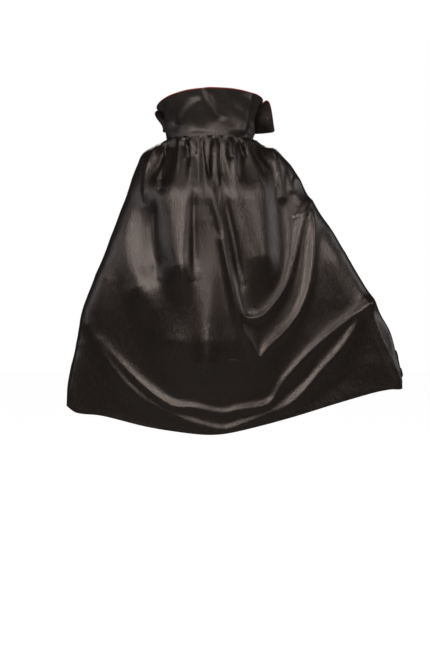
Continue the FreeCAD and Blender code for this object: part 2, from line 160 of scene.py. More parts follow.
class Cloth:
    def __init__(s, P):
        n, m = P.shape[:2]
        s.free = hold(P).astype(F4)
        s.P = np.ascontiguousarray(P, dtype=F4); s.Q = s.P.copy()
        du, dv = SHEET_W/(m-1), SHEET_L/(n-1)
        t = np.abs(np.linspace(-1, 1, m)); k = np.clip((t-.86)/.14, 0, 1); long = 1+(EDGE_L/SHEET_L-1)*k*k*(3-2*k)
        dvc = (dv*long)[None, :]*np.ones((n, 1))
        D = np.hypot(du, dvc)
        sl = slice
        L = []
        for o in (0, 1): L.append(((sl(0, n), sl(o, m-1, 2)), (sl(0, n), sl(o+1, m, 2)), du, 1.0, 1.0))
        for o in (0, 1): L.append(((sl(o, n-1, 2), sl(0, m)), (sl(o+1, n, 2), sl(0, m)), dvc, 1.0, 1.0))
        for o in (0, 1):
            for q in (0, 1):
                L.append(((sl(o, n-1, 2), sl(q, m-1, 2)), (sl(o+1, n, 2), sl(q+1, m, 2)), D, .22, .08))
                L.append(((sl(o+1, n, 2), sl(q, m-1, 2)), (sl(o, n-1, 2), sl(q+1, m, 2)), D, .22, .08))
        B = []
        for o in range(4):
            B.append(((sl(0, n), sl(o, m-2, 4)), (sl(0, n), sl(o+2, m, 4)), 2*du))
            B.append(((sl(o, n-2, 4), sl(0, m)), (sl(o+2, n, 4), sl(0, m)), 2*dvc))
        s.L = [s.prep(a, b, l, k, kc) for a, b, l, k, kc in L]
        s.B = [s.prep(a, b, l, 1, 1) for a, b, l in B]

    def prep(s, sa, sb, l, k, kc):
        A, Bv = s.free[sa], s.free[sb]
        r, c = min(A.shape[0], Bv.shape[0]), min(A.shape[1], Bv.shape[1])

        def cut(q):
            return tuple(slice(x.start, x.start+(n-1)*(x.step or 1)+1, x.step or 1) for x, n in zip(q, (r, c)))
        sa, sb = cut(sa), cut(sb)
        wa, wb = s.free[sa], s.free[sb]
        iw = 1/(wa+wb+1e-6)
        l = l[sa] if isinstance(l, np.ndarray) else l
        return sa, sb, np.asarray(l, F4), F4(k), F4(kc), (wa*iw)[..., None].astype(F4), (wb*iw)[..., None].astype(F4)

    def project(s, kb):
        P = s.P
        for sa, sb, l, k, kc, wa, wb in s.L:
            a, b = P[sa], P[sb]
            d = b-a
            f = 1-l/(np.sqrt(np.einsum('ijk,ijk->ij', d, d))+F4(1e-9))
            if kc != k: f = np.where(f > 0, k*f, kc*f)
            d *= f[..., None]
            a += wa*d; b -= wb*d
        for sa, sb, l, k, kc, wa, wb in s.B:
            a, b = P[sa], P[sb]
            d = b-a
            f = np.minimum(1-l/(np.sqrt(np.einsum('ijk,ijk->ij', d, d))+F4(1e-9)), 0)*F4(kb)
            d *= f[..., None]
            a += wa*d; b -= wb*d

    def collide(s, scale, mu, pad):
        P = s.P.reshape(-1, 3); Q = s.Q.reshape(-1, 3); fr = s.free.reshape(-1)
        for a, ra, b, rb in CAPSULES:
            a = np.array(a, F4); b = np.array(b, F4); d = b-a
            R = max(ra, rb)*scale+pad
            m = np.flatnonzero(((P > np.minimum(a, b)-R) & (P < np.maximum(a, b)+R)).all(1) & (fr > 0))
            if not len(m): continue
            p = P[m]
            t = np.clip((p-a)@d/(d@d), 0, 1)
            q = p-(a+t[:, None]*d)
            L = np.sqrt((q*q).sum(1))+F4(1e-9)
            depth = (ra+(rb-ra)*t)*scale+pad-L
            k = depth > 0
            if not k.any(): continue
            m = m[k]; nrm = q[k]/L[k][:, None]
            p = p[k]+depth[k][:, None]*nrm
            mv = p-Q[m]; tang = mv-(mv*nrm).sum(1)[:, None]*nrm
            P[m] = p-tang*F4(mu)

    def run(s, steps, iters, g, damp, kb, scale=lambda t: 1.0, mu=.25, pad=.003):
        fr = s.free[..., None]
        for k in range(steps):
            t = k/max(1, steps-1)
            V = (s.P-s.Q)*F4(damp)*fr
            s.Q[...] = s.P
            s.P += V
            s.P[..., 2] -= F4(g)*s.free
            for it in range(iters):
                s.project(kb)
                if it % 3 == 2 or it == iters-1:
                    s.collide(F4(scale(t)), mu, F4(pad))


def finer(P):
    def up(A):
        E = np.concatenate([2*A[:1]-A[1:2], A, 2*A[-1:]-A[-2:-1]])
        out = np.zeros((2*A.shape[0]-1,)+A.shape[1:])
        out[::2] = A; out[1::2] = (-E[:-3]+9*E[1:-2]+9*E[2:-1]-E[3:])/16
        return out
    return up(up(P.astype(float)).swapaxes(0, 1)).swapaxes(0, 1)


def drape():
    c = Cloth(start_shape(76, 54))
    c.run(40, 10, .0001, .90, .02, scale=lambda t: .5+.5*t)
    c.run(200, 10, .0002, .97, .02)
    c = Cloth(finer(c.P))
    c.run(90, 10, .00008, .95, .03)
    return c.P.astype(float)


# ------------------------------------------------------------------ the sheet's outline and folds, in the view plane, mm (left, up)
OUTLINE = [(366, 159, 148), (341, 170, 168), (315, 183, 187), (289, 191, 200), (263, 200, 213), (237, 211, 232), (212, 219, 249), (186, 230, 264), (160, 239, 279), (134, 249, 294), (109, 260, 307), (83, 269, 320), (57, 279, 333), (31, 288, 346), (5, 294, 355), (-20, 297, 365), (-46, 301, 378), (-72, 305, 387), (-98, 309, 396), (-124, 314, 407), (-175, 321, 420), (-205, 325, 424)]
HEM = [(318, -175), (273, -192), (230, -203), (140, -227), (15, -244), (-28, -240), (-114, -218), (-200, -194), (-243, -179), (-286, -167), (-329, -154), (-372, -143), (-408, -130)]
# (points, height, half width, start height share, end height share, sharpness)
FOLDS = [
    ([(272, -5), (236, -73), (186, -138), (129, -181), (57, -213), (-14, -231), (-57, -220), (-122, -195), (-172, -167), (-229, -102), (-279, -45), (-330, 41)], 7, 24, .3, 1, 1.4),
    ([(244, -38), (201, -88), (150, -138), (93, -177), (43, -184), (-14, -195), (-50, -188), (-115, -174), (-150, -124), (-201, -66), (-265, -9), (-326, 38)], 6, 20, .3, 1, 1.4),
    ([(-7, 385), (7, 285), (-14, 199), (-29, 106), (-47, 20), (-68, -30), (-93, -73), (-115, -52), (-158, -9), (-186, 34), (-204, 91), (-211, 163), (-211, 235), (-206, 260)], 8, 20, 1, .8, 1.4),
    ([(-14, 177), (-36, 91), (-57, 20), (-86, 9), (-115, 27), (-150, 77), (-168, 134), (-183, 199), (-193, 235)], 6, 17, .5, .8, 1.4),
    ([(176, 367), (183, 306), (183, 220), (176, 134), (161, 77)], 16, 35, -.15, 1, 1.0),
    ([(57, 367), (79, 306), (82, 235), (80, 163), (75, 124)], 15, 34, -.15, 1, 1.0),
    ([(18, 220), (18, 120), (21, 20), (18, -77)], 13, 26, -.2, 1, 1.0),
    ([(-75, 335), (-86, 263), (-95, 199), (-102, 145)], 13, 31, -.15, 1, 1.0),
    ([(-125, 385), (-138, 335), (-143, 270)], 6, 16, .8, 1, 1.2),
    ([(-150, 360), (-158, 321), (-163, 285), (-173, 308), (-204, 285), (-229, 249), (-251, 199), (-287, 149)], 4, 15, .6, .3, 1.2),
    ([(-172, 227), (-190, 238), (-211, 270)], 3, 12, .6, .6, 1.2),
    ([(-330, 41), (-344, -9), (-372, -73), (-398, -127)], 6, 16, 1, .5, 1.3),
    ([(294, -52), (304, -124), (312, -177)], 4, 14, .3, .6, 1.2),
    ([(98, 392), (115, 345), (116, 290)], -12, 20, 1, .5, 1.1),
    ([(64, 402), (59, 370), (57, 345)], -12, 9, 1, .3, 1.3),
    ([(44, 400), (40, 360)], 5, 9, 1, .3, 1.2),
    ([(24, 402), (18, 360), (9, 305)], -11, 8, 1, .3, 1.3),
    ([(6, 400), (4, 350)], 5, 10, 1, .3, 1.2),
    ([(-9, 402), (-12, 350), (-13, 300)], -12, 8, 1, .3, 1.3),
    ([(-32, 400), (-38, 345)], 6, 12, 1, .3, 1.2),
    ([(-50, 402), (-56, 375), (-66, 350)], -9, 8, 1, .3, 1.3),
    ([(-63, 400), (-64, 372)], 6, 6, 1, .4, 1.3),
    ([(-93, 395), (-104, 356)], -12, 17, 1, .8, 1.1),
    ([(-118, 392), (-128, 350), (-134, 300)], 6, 12, 1, .4, 1.2),
    ([(120, 392), (146, 330), (150, 250)], 6, 12, .8, .3, 1.2),
    ([(134, 270), (134, 180), (122, 90)], -8, 17, .2, .3, 1.1),
    ([(44, 300), (46, 200), (44, 90)], -8, 15, .2, .3, 1.1),
    ([(-16, 290), (-38, 190), (-58, 80)], -6, 14, .5, .5, 1.1),
]


def smooth_line(pts, n=70):
    p = np.array(pts, float)/1000
    q = np.vstack([2*p[0]-p[1], p, 2*p[-1]-p[-2]])
    out = []
    k = max(4, n//(len(p)-1))
    for a, b, c, d in zip(q[:-3], q[1:-2], q[2:-1], q[3:]):
        t = np.linspace(0, 1, k, endpoint=False)[:, None]
        out.append(.5*((2*b)+(c-a)*t+(2*a-5*b+4*c-d)*t*t+(3*b-a-3*c+d)*t**3))
    return np.vstack(out+[p[-1:]])


def smoothstep(x, a=0.0, b=1.0):
    t = np.clip((x-a)/(b-a), 0, 1)
    return t*t*(3-2*t)


def blur(y, s):
    r = int(3*s)+1
    k = np.exp(-.5*(np.arange(-r, r+1)/s)**2); k /= k.sum()
    return np.convolve(np.pad(y, r, mode="edge"), k, "valid")


def fit_outline(P):
    """Eases the draped sheet sideways onto its measured outline, and its hem up or down onto the measured hem line."""
    n, m = P.shape[:2]
    t = np.abs(np.linspace(-1, 1, m))[None, :]*np.ones((n, 1))
    L, U, K = seen(P)
    o = np.array(OUTLINE, float)/1000
    zs = np.linspace(-.30, .40, 141)
    for side, col in ((1, 1), (-1, 2)):
        x = L*side
        hull = np.full(len(zs), np.nan)
        core = t < .93
        for k, z in enumerate(zs):
            w = core & (np.abs(U-z) < .006) & (x > 0)
            if w.any(): hull[k] = x[w].max()
        ok = ~np.isnan(hull)
        hull = np.interp(zs, zs[ok], hull[ok])
        hull = blur(hull, 1.6)
        target = np.interp(zs, o[::-1, 0], o[::-1, col])
        delta = target-hull
        lim = zs < (-.180 if side > 0 else -.135)
        if lim.any(): delta[lim] = delta[~lim][0]
        delta = blur(delta, 2.0)
        d = np.interp(U, zs, delta)*smoothstep(U, .385, .33)
        h = np.interp(U, zs, hull)
        kk = x/h
        move = d*smoothstep(kk, .35, 1.0)
        far = kk > 1
        corner = (CORNER_L[0]+.011) if side > 0 else (-CORNER_R[0]-.011)
        move = np.where(far, d, move)
        # the corner that hangs in front of the hand stays behind the outline
        tgt = np.interp(U, zs, target)
        low = smoothstep(U, .12, .03)
        excess = np.maximum(x+move-(tgt-.0015), 0)
        move = move-excess*.97*low
        front = smoothstep(P[..., 1], .0, -.012)*smoothstep(t, .66, .78)*low
        excess = np.maximum(x+move-(tgt-.012), 0)
        move = move-excess*.85*front
        P[..., 0] += np.where(x > 0, side*move/K, 0)
    L, U, K = seen(P)
    hem = np.array(HEM, float)/1000
    row = np.where(t[-1] < .93)[0]
    xs, us = L[-1, row], U[-1, row]
    order = np.argsort(xs)
    want = np.interp(xs[order], hem[::-1, 0], hem[::-1, 1])
    dz = want-us[order]
    dz = blur(dz, 3)
    v = np.linspace(0, 1, n)[:, None]*np.ones((1, m))
    P[..., 2] += np.interp(L, xs[order], dz)/K*smoothstep(v, .5, 1.0)
    return P


def calm(P):
    """Evens out the narrow gathers away from the neck, where the measured folds take over."""
    n, m = P.shape[:2]
    Q = P.copy()
    for _ in range(26):
        Q[:, 1:-1] = .5*Q[:, 1:-1]+.25*(Q[:, :-2]+Q[:, 2:])
    v = np.linspace(0, 1, n)[:, None, None]
    t = np.abs(np.linspace(-1, 1, m))[None, :, None]
    w = smoothstep(v, .03, .24)*(1-smoothstep(t, .62, .80))
    R = P.copy()
    for _ in range(6):
        R[1:, 1:-1] = .5*R[1:, 1:-1]+.25*(R[1:, :-2]+R[1:, 2:])
    return R*(1-w)+Q*w


def normals(P):
    du, dv = np.gradient(P, axis=1), np.gradient(P, axis=0)
    N = np.cross(du, dv)
    return N/(np.linalg.norm(N, axis=-1, keepdims=True)+1e-12)


def add_folds(P):
    n, m = P.shape[:2]
    L, U, K = seen(P)
    N = normals(P)
    facing = smoothstep(N@(-FWD), -.1, .35)*(P[..., 1] > -.03)
    h = np.zeros((n, m))
    q = np.stack([L, U], -1).reshape(-1, 2)
    for pts, A, w, s0, s1, sharp in FOLDS:
        c = smooth_line(pts)
        A, w = A/1000, w/1000
        lo, hi = c.min(0)-(5 if s0 < 0 else 3)*w, c.max(0)+(5 if s0 < 0 else 3)*w
        idx = np.flatnonzero(((q > lo) & (q < hi)).all(1))
        if not len(idx): continue
        best = np.full(len(idx), 1e9); at = np.zeros(len(idx))
        seg = np.diff(c, axis=0); ln = np.linalg.norm(seg, axis=1); run = np.concatenate([[0], np.cumsum(ln)])
        for k in range(len(seg)):
            r = q[idx]-c[k]
            tt = np.clip(r@seg[k]/(ln[k]**2+1e-12), 0, 1)
            dd = np.linalg.norm(r-tt[:, None]*seg[k], axis=1)
            b = dd < best
            best[b] = dd[b]; at[b] = (run[k]+tt[b]*ln[k])/run[-1]
        if s0 < 0:
            # the swollen end eases off slowly below
            tdir = c[-1]-c[-4]; tdir /= np.linalg.norm(tdir)
            r = q[idx]-c[-1]; al_ = r@tdir
            ac_ = np.sqrt(np.maximum((r*r).sum(1)-al_**2, 0))
            beyond = (at > .999) & (al_ > 0)
            best[beyond] = np.sqrt(ac_[beyond]**2+(al_[beyond]/2.0)**2)
        bell = np.exp(-(best/w)**2*1.2) if sharp <= 1 else 1/(1+(best/(w*.62))**2)**sharp
        if s0 < 0:
            tip = s0*6.0*at*(1-at)**2+at*at*(1.6-.6*at)
        else:
            tip = s0+(1-s0)*smoothstep(at, 0, .25)
        tip = tip*(1-(1-s1)*smoothstep(at, .75, 1))
        h.reshape(-1)[idx] += A*bell*tip
    v = np.linspace(0, 1, n)[:, None]
    h *= smoothstep(v, .004, .040)
    back = np.array([0, 1.0, 0])
    dirn = N*.5+back*.5
    return P+dirn*(h*facing)[..., None]


def close_seam(P):
    """Draws the crests of the gathered edge in under the collar's seam."""
    v = np.linspace(0, 1, P.shape[0])[:, None]
    r = np.sqrt((P[..., 0]/.092)**2+(P[..., 1]/.074)**2)
    over = np.maximum(r-(1+.0002/.083), 0)
    f = (r-over*(1-smoothstep(v, .001, .020)))/r
    P = P.copy()
    P[..., 0] *= f; P[..., 1] *= f
    return P


# ------------------------------------------------------------------ meshes
def add_mesh(name, verts, faces, uv=None, nrm=None):
    me = bpy.data.meshes.new(name)
    me.from_pydata(np.asarray(verts, float).tolist(), [], [tuple(int(i) for i in f) for f in faces])
    me.update()
    me.polygons.foreach_set("use_smooth", [True]*len(me.polygons))
    if uv is not None:
        lay = me.uv_layers.new(name="cloth")
        li = np.zeros(len(me.loops), int); me.loops.foreach_get("vertex_index", li)
        lay.data.foreach_set("uv", np.asarray(uv, np.float32)[li].ravel())
    ob = bpy.data.objects.new(name, me); scene.collection.objects.link(ob)
    if nrm is not None:
        me.normals_split_custom_set_from_vertices(np.asarray(nrm, float).tolist())
    return ob


def slab(name, mid, nrm, a, b, uv=None, round_to=0.0, custom=True):
    """Closed layer over a grid of points, from a to b along the grid's normals, with eased edges."""
    n, m = mid.shape[:2]
    th = np.ones((n, m))
    if round_to > 0:
        def run(A, axis):
            d = np.linalg.norm(np.diff(A, axis=axis), axis=-1)
            c = np.concatenate([np.zeros_like(np.take(d, [0], axis)), np.cumsum(d, axis=axis)], axis=axis)
            return np.minimum(c, np.take(c, [-1], axis)-c)
        e = np.minimum(run(mid, 0), run(mid, 1))/round_to
        th = np.sqrt(np.clip(1-(1-np.clip(e, 0, 1))**2, .04, 1))
    c, hf = (a+b)/2, (b-a)/2
    top = mid+nrm*(c+hf*th)[..., None]
    bot = mid+nrm*(c-hf*th)[..., None]
    V = np.concatenate([top.reshape(-1, 3), bot.reshape(-1, 3)])
    I = np.arange(n*m).reshape(n, m); J = I+n*m
    f = [np.stack([I[:-1, :-1], I[:-1, 1:], I[1:, 1:], I[1:, :-1]], -1).reshape(-1, 4),
         np.stack([J[:-1, :-1], J[1:, :-1], J[1:, 1:], J[:-1, 1:]], -1).reshape(-1, 4),
         np.stack([I[0, 1:], I[0, :-1], J[0, :-1], J[0, 1:]], -1),
         np.stack([I[-1, :-1], I[-1, 1:], J[-1, 1:], J[-1, :-1]], -1),
         np.stack([I[:-1, 0], I[1:, 0], J[1:, 0], J[:-1, 0]], -1),
         np.stack([I[1:, -1], I[:-1, -1], J[:-1, -1], J[1:, -1]], -1)]
    if uv is not None:
        uv = np.concatenate([uv.reshape(-1, 2), uv.reshape(-1, 2)])
    N = np.concatenate([nrm.reshape(-1, 3), -nrm.reshape(-1, 3)]) if custom else None
    return add_mesh(name, V, np.concatenate(f), uv, N)


def grid_at(P, N, fu, fv):
    """Points and normals of a grid surface at fractional columns fu and rows fv (bilinear)."""
    n, m = P.shape[:2]
    x, y = np.clip(fu, 0, 1)*(m-1), np.clip(fv, 0, 1)*(n-1)
    i, j = np.minimum(y.astype(int), n-2), np.minimum(x.astype(int), m-2)
    a, b = (y-i)[..., None], (x-j)[..., None]

    def s(A):
        return A[i, j]*(1-a)*(1-b)+A[i, j+1]*(1-a)*b+A[i+1, j]*a*(1-b)+A[i+1, j+1]*a*b
    nn = s(N)
    return s(P), nn/(np.linalg.norm(nn, axis=-1, keepdims=True)+1e-12)


def stitch_mesh(name, pts, along, out, length, width, height):
    """A row of rounded thread stitches: each is a low six-sided bead, highest in its middle."""
    V, F = [], []
    ring = [(math.cos(a), math.sin(a)) for a in np.linspace(0, 2*math.pi, 7)[:-1]]
    prof = [(-.5, .25), (-.32, .8), (0, 1), (.32, .8), (.5, .25)]
    for p, d, o in zip(pts, along, out):
        s = np.cross(o, d); s /= np.linalg.norm(s)+1e-12
        k0 = len(V)
        for u, r in prof:
            for c, z in ring:
                V.append(p+d*(u*length)+s*(c*r*width/2)+o*(z*r*height/2+height*.15))
        for q in range(len(prof)-1):
            for k in range(6):
                F.append((k0+q*6+k, k0+q*6+(k+1) % 6, k0+(q+1)*6+(k+1) % 6, k0+(q+1)*6+k))
        F.append(tuple(k0+k for k in range(5, -1, -1)))
        F.append(tuple(k0+(len(prof)-1)*6+k for k in range(6)))
    return add_mesh(name, np.array(V), F)


def tube_mesh(name, path, radius, flat=1.0, side=None, nseg=8, close=False):
    path = np.asarray(path, float); n = len(path)
    T = np.gradient(path, axis=0); T /= np.linalg.norm(T, axis=1, keepdims=True)+1e-12
    up = np.array([0, 0, 1.0]) if side is None else side
    V, F = [], []
    rad = np.broadcast_to(radius, n)
    for i in range(n):
        o = up[i] if getattr(up, "ndim", 1) == 2 else up
        s = np.cross(T[i], o); s /= np.linalg.norm(s)+1e-12
        w = np.cross(s, T[i])
        for k in range(nseg):
            a = 2*math.pi*k/nseg
            V.append(path[i]+rad[i]*(math.cos(a)*s*flat+math.sin(a)*w))
    for i in range(n-1):
        for k in range(nseg):
            F.append((i*nseg+k, i*nseg+(k+1) % nseg, (i+1)*nseg+(k+1) % nseg, (i+1)*nseg+k))
    F.append(tuple(range(nseg-1, -1, -1)))
    F.append(tuple((n-1)*nseg+k for k in range(nseg)))
    return add_mesh(name, np.array(V), F)


# ------------------------------------------------------------------ materials
def new_material(name):
    mat = bpy.data.materials.new(name); mat.use_nodes = True
    nt = mat.node_tree
    return mat, nt, nt.nodes["Principled BSDF"]


def node(nt, kind, **kw):
    n = nt.nodes.new(kind)
    for k, v in kw.items():
        if k in n.inputs: n.inputs[k].default_value = v
        else: setattr(n, k, v)
    return n


def cloth_uv(nt, scale):
    uv = node(nt, "ShaderNodeUVMap", uv_map="cloth")
    mp = node(nt, "ShaderNodeMapping")
    mp.inputs["Scale"].default_value = scale
    nt.links.new(uv.outputs["UV"], mp.inputs["Vector"])
    return mp.outputs["Vector"]


def ramp(nt, fac, stops):
    r = node(nt, "ShaderNodeValToRGB")
    nt.links.new(fac, r.inputs["Fac"])
    e = r.color_ramp.elements
    while len(e) > len(stops): e.remove(e[-1])
    for k, (p, c) in enumerate(stops):
        if k >= len(e): e.new(p)
        e[k].position = p; e[k].color = (*c, 1)
    return r.outputs["Color"]


def bump(nt, bsdf, parts):
    """Chains bump maps: parts are (height socket, strength, distance)."""
    last = None
    for h, s, d in parts:
        b = node(nt, "ShaderNodeBump")
        b.inputs["Strength"].default_value = s; b.inputs["Distance"].default_value = d
        nt.links.new(h, b.inputs["Height"])
        if last: nt.links.new(last, b.inputs["Normal"])
        last = b.outputs["Normal"]
    nt.links.new(last, bsdf.inputs["Normal"])


def satin(name, dark, light, rough, spec, aniso=.35, crease=False, uvs=True, sheen=.0):
    """Warp-faced satin: long floats along the cloth's length, slubs in the yarn, soft creasing."""
    mat, nt, b = new_material(name)
    src = (lambda s: cloth_uv(nt, s)) if uvs else (lambda s: obj_coord(nt, s))
    slub = node(nt, "ShaderNodeTexNoise"); slub.inputs["Scale"].default_value = 1.0
    slub.inputs["Detail"].default_value = 6; slub.inputs["Roughness"].default_value = .6
    nt.links.new(src((520, 60, 1)), slub.inputs["Vector"])
    yarn = node(nt, "ShaderNodeTexNoise"); yarn.inputs["Scale"].default_value = 1.0
    yarn.inputs["Detail"].default_value = 3
    nt.links.new(src((2600, 420, 1)), yarn.inputs["Vector"])
    crumple = node(nt, "ShaderNodeTexNoise"); crumple.inputs["Scale"].default_value = 1.0
    crumple.inputs["Detail"].default_value = 4; crumple.inputs["Roughness"].default_value = .55; crumple.inputs["Distortion"].default_value = .15
    nt.links.new(src((26, 12, 1)), crumple.inputs["Vector"])
    mixf = node(nt, "ShaderNodeMath", operation="ADD")
    m1 = node(nt, "ShaderNodeMath", operation="MULTIPLY"); m1.inputs[1].default_value = .55
    m2 = node(nt, "ShaderNodeMath", operation="MULTIPLY"); m2.inputs[1].default_value = .45
    nt.links.new(slub.outputs["Fac"], m1.inputs[0]); nt.links.new(yarn.outputs["Fac"], m2.inputs[0])
    nt.links.new(m1.outputs[0], mixf.inputs[0]); nt.links.new(m2.outputs[0], mixf.inputs[1])
    nt.links.new(ramp(nt, mixf.outputs[0], [(.36, dark), (.66, light)]), b.inputs["Base Color"])
    rr = node(nt, "ShaderNodeMapRange"); rr.inputs["From Min"].default_value = .3; rr.inputs["From Max"].default_value = .7
    rr.inputs["To Min"].default_value = rough-.05; rr.inputs["To Max"].default_value = rough+.06
    nt.links.new(slub.outputs["Fac"], rr.inputs["Value"]); nt.links.new(rr.outputs["Result"], b.inputs["Roughness"])
    b.inputs["Specular IOR Level"].default_value = spec
    b.inputs["Specular Tint"].default_value = (1.0, .87, .80, 1)
    b.inputs["Anisotropic"].default_value = aniso
    b.inputs["Sheen Weight"].default_value = sheen
    b.inputs["Sheen Roughness"].default_value = .4
    parts = [(crumple.outputs["Fac"], .40, .0040), (slub.outputs["Fac"], .5, .0009), (yarn.outputs["Fac"], .25, .00025)]
    if crease:
        parts.insert(0, (packing_crease(nt, src), .35, .0012))
    bump(nt, b, parts)
    return mat


def obj_coord(nt, scale):
    tc = node(nt, "ShaderNodeTexCoord")
    mp = node(nt, "ShaderNodeMapping"); mp.inputs["Scale"].default_value = scale
    nt.links.new(tc.outputs["Object"], mp.inputs["Vector"])
    return mp.outputs["Vector"]


def packing_crease(nt, src):
    """One faint line across the cloth where it was folded in its packet, crinkled near the middle."""
    uv = src((1, 1, 1))
    sep = node(nt, "ShaderNodeSeparateXYZ"); nt.links.new(uv, sep.inputs[0])
    wob = node(nt, "ShaderNodeTexNoise"); wob.inputs["Scale"].default_value = 46; wob.inputs["Detail"].default_value = 3
    nt.links.new(uv, wob.inputs["Vector"])
    a = node(nt, "ShaderNodeMath", operation="MULTIPLY_ADD"); a.inputs[1].default_value = .022; a.inputs[2].default_value = -.011
    nt.links.new(wob.outputs["Fac"], a.inputs[0])
    y = node(nt, "ShaderNodeMath", operation="ADD"); nt.links.new(sep.outputs["Y"], y.inputs[0]); nt.links.new(a.outputs[0], y.inputs[1])
    d = node(nt, "ShaderNodeMath", operation="SUBTRACT"); d.inputs[1].default_value = CREASE_V
    nt.links.new(y.outputs[0], d.inputs[0])
    ab = node(nt, "ShaderNodeMath", operation="ABSOLUTE"); nt.links.new(d.outputs[0], ab.inputs[0])
    r = node(nt, "ShaderNodeMapRange"); r.inputs["From Min"].default_value = 0; r.inputs["From Max"].default_value = .0035
    r.inputs["To Min"].default_value = 1; r.inputs["To Max"].default_value = 0
    nt.links.new(ab.outputs[0], r.inputs["Value"])
    cx = node(nt, "ShaderNodeMath", operation="SUBTRACT"); cx.inputs[1].default_value = SHEET_W/2; nt.links.new(sep.outputs["X"], cx.inputs[0])
    ax = node(nt, "ShaderNodeMath", operation="ABSOLUTE"); nt.links.new(cx.outputs[0], ax.inputs[0])
    mr = node(nt, "ShaderNodeMapRange"); mr.inputs["From Min"].default_value = .04; mr.inputs["From Max"].default_value = .14
    mr.inputs["To Min"].default_value = 1; mr.inputs["To Max"].default_value = .12; nt.links.new(ax.outputs[0], mr.inputs["Value"])
    out = node(nt, "ShaderNodeMath", operation="MULTIPLY"); nt.links.new(r.outputs["Result"], out.inputs[0]); nt.links.new(mr.outputs["Result"], out.inputs[1])
    return out.outputs[0]


CREASE_V = .172
BLACK_D, BLACK_L = (.0048, .0031, .0026), (.0115, .0082, .0071)
M = {}
M["cape_satin"] = satin("cape_satin", BLACK_D, BLACK_L, .31, .66, crease=True)
M["cape_inside"] = satin("cape_satin_inside", (.009, .0075, .007), (.017, .0145, .0135), .55, .45, aniso=.1)
M["collar_satin"] = satin("collar_satin", (.0058, .0045, .0041), (.0125, .0102, .0096), .42, .78)
M["red_lining"] = satin("red_lining", (.30, .014, .012), (.46, .030, .026), .40, .6)


def woven(name, c0, c1, scale, rough, sheen=0.2, bumpy=.4, dist=.0004):
    """Plain or tape weave from two crossed wave patterns."""
    mat, nt, b = new_material(name)
    v = cloth_uv(nt, (1, 1, 1))
    w1 = node(nt, "ShaderNodeTexWave", bands_direction="X"); w1.inputs["Scale"].default_value = scale; w1.inputs["Distortion"].default_value = .6
    w2 = node(nt, "ShaderNodeTexWave", bands_direction="Y"); w2.inputs["Scale"].default_value = scale*1.3; w2.inputs["Distortion"].default_value = .6
    nt.links.new(v, w1.inputs["Vector"]); nt.links.new(v, w2.inputs["Vector"])
    mx = node(nt, "ShaderNodeMath", operation="MULTIPLY")
    nt.links.new(w1.outputs["Fac"], mx.inputs[0]); nt.links.new(w2.outputs["Fac"], mx.inputs[1])
    no = node(nt, "ShaderNodeTexNoise"); no.inputs["Scale"].default_value = 120; no.inputs["Detail"].default_value = 4
    nt.links.new(v, no.inputs["Vector"])
    ad = node(nt, "ShaderNodeMath", operation="MULTIPLY_ADD"); ad.inputs[1].default_value = .6
    nt.links.new(no.outputs["Fac"], ad.inputs[0]); nt.links.new(mx.outputs[0], ad.inputs[2])
    nt.links.new(ramp(nt, ad.outputs[0], [(.15, c0), (.9, c1)]), b.inputs["Base Color"])
    b.inputs["Roughness"].default_value = rough
    b.inputs["Sheen Weight"].default_value = sheen
    bump(nt, b, [(mx.outputs[0], bumpy, dist), (no.outputs["Fac"], .3, .0003)])
    return mat


M["interlining"] = woven("interlining", (.45, .44, .42), (.62, .61, .58), 260, .9)
M["binding_tape"] = woven("binding_tape", (.012, .011, .011), (.03, .027, .026), 240, .8)
M["label_tape"] = woven("label_tape", (.60, .59, .57), (.78, .77, .75), 330, .7)
M["loop_tape"] = woven("loop_tape", (.012, .012, .013), (.035, .034, .035), 300, .95, sheen=.5, bumpy=.8, dist=.0008)
M["hook_tape"] = woven("hook_tape", (.014, .014, .015), (.040, .040, .042), 420, .5, sheen=.0, bumpy=.8, dist=.0006)


def thread(name, c0, c1, rough=.5):
    mat, nt, b = new_material(name)
    v = obj_coord(nt, (1, 1, 1))
    w = node(nt, "ShaderNodeTexNoise"); w.inputs["Scale"].default_value = 1500; w.inputs["Detail"].default_value = 3
    nt.links.new(v, w.inputs["Vector"])
    nt.links.new(ramp(nt, w.outputs["Fac"], [(.35, c0), (.65, c1)]), b.inputs["Base Color"])
    b.inputs["Roughness"].default_value = rough
    b.inputs["Sheen Weight"].default_value = .2
    bump(nt, b, [(w.outputs["Fac"], .5, .0002)])
    return mat


M["sewing_thread"] = thread("sewing_thread", (.010, .009, .009), (.030, .027, .026))
M["red_thread"] = thread("red_thread", (.28, .03, .025), (.45, .06, .05))


def dress(ob, key):
    ob.data.materials.clear(); ob.data.materials.append(M[key])
    return ob


# ------------------------------------------------------------------ the cape sheet
P = drape()
P = fit_outline(P)
P = calm(P)
P = finer(P)
P = close_seam(add_folds(P))
# sizes, normals and cloth coordinates of the finished sheet
NV, NU = P.shape[:2]
N = normals(P)
vv = np.linspace(0, SHEET_L, NV)[:, None]*np.ones((1, NU))
uu = np.linspace(0, SHEET_W, NU)[None, :]*np.ones((NV, 1))
UV = np.stack([uu, SHEET_L-vv], -1)
mid_col = NU//2

halves = {}
for side, a, b in (("left", mid_col, NU), ("right", 0, mid_col+1)):
    # the left half's first column and the right half's last one are the same line down the middle of the back
    halves[side] = (slice(None), slice(a, b))


def cross_joint(ob):
    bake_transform(ob)
    return ob


T_CLOTH = .0005
hems = {"left": [], "right": []}
for side, sl in halves.items():
    ob = slab("cape_"+side, P[sl], N[sl], -T_CLOTH, T_CLOTH, UV[sl])
    dress(ob, "cape_satin")
    cross_joint(ob)
    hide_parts(side+"_wing_panel", "back_panel")
    halves[side] = (sl, ob)

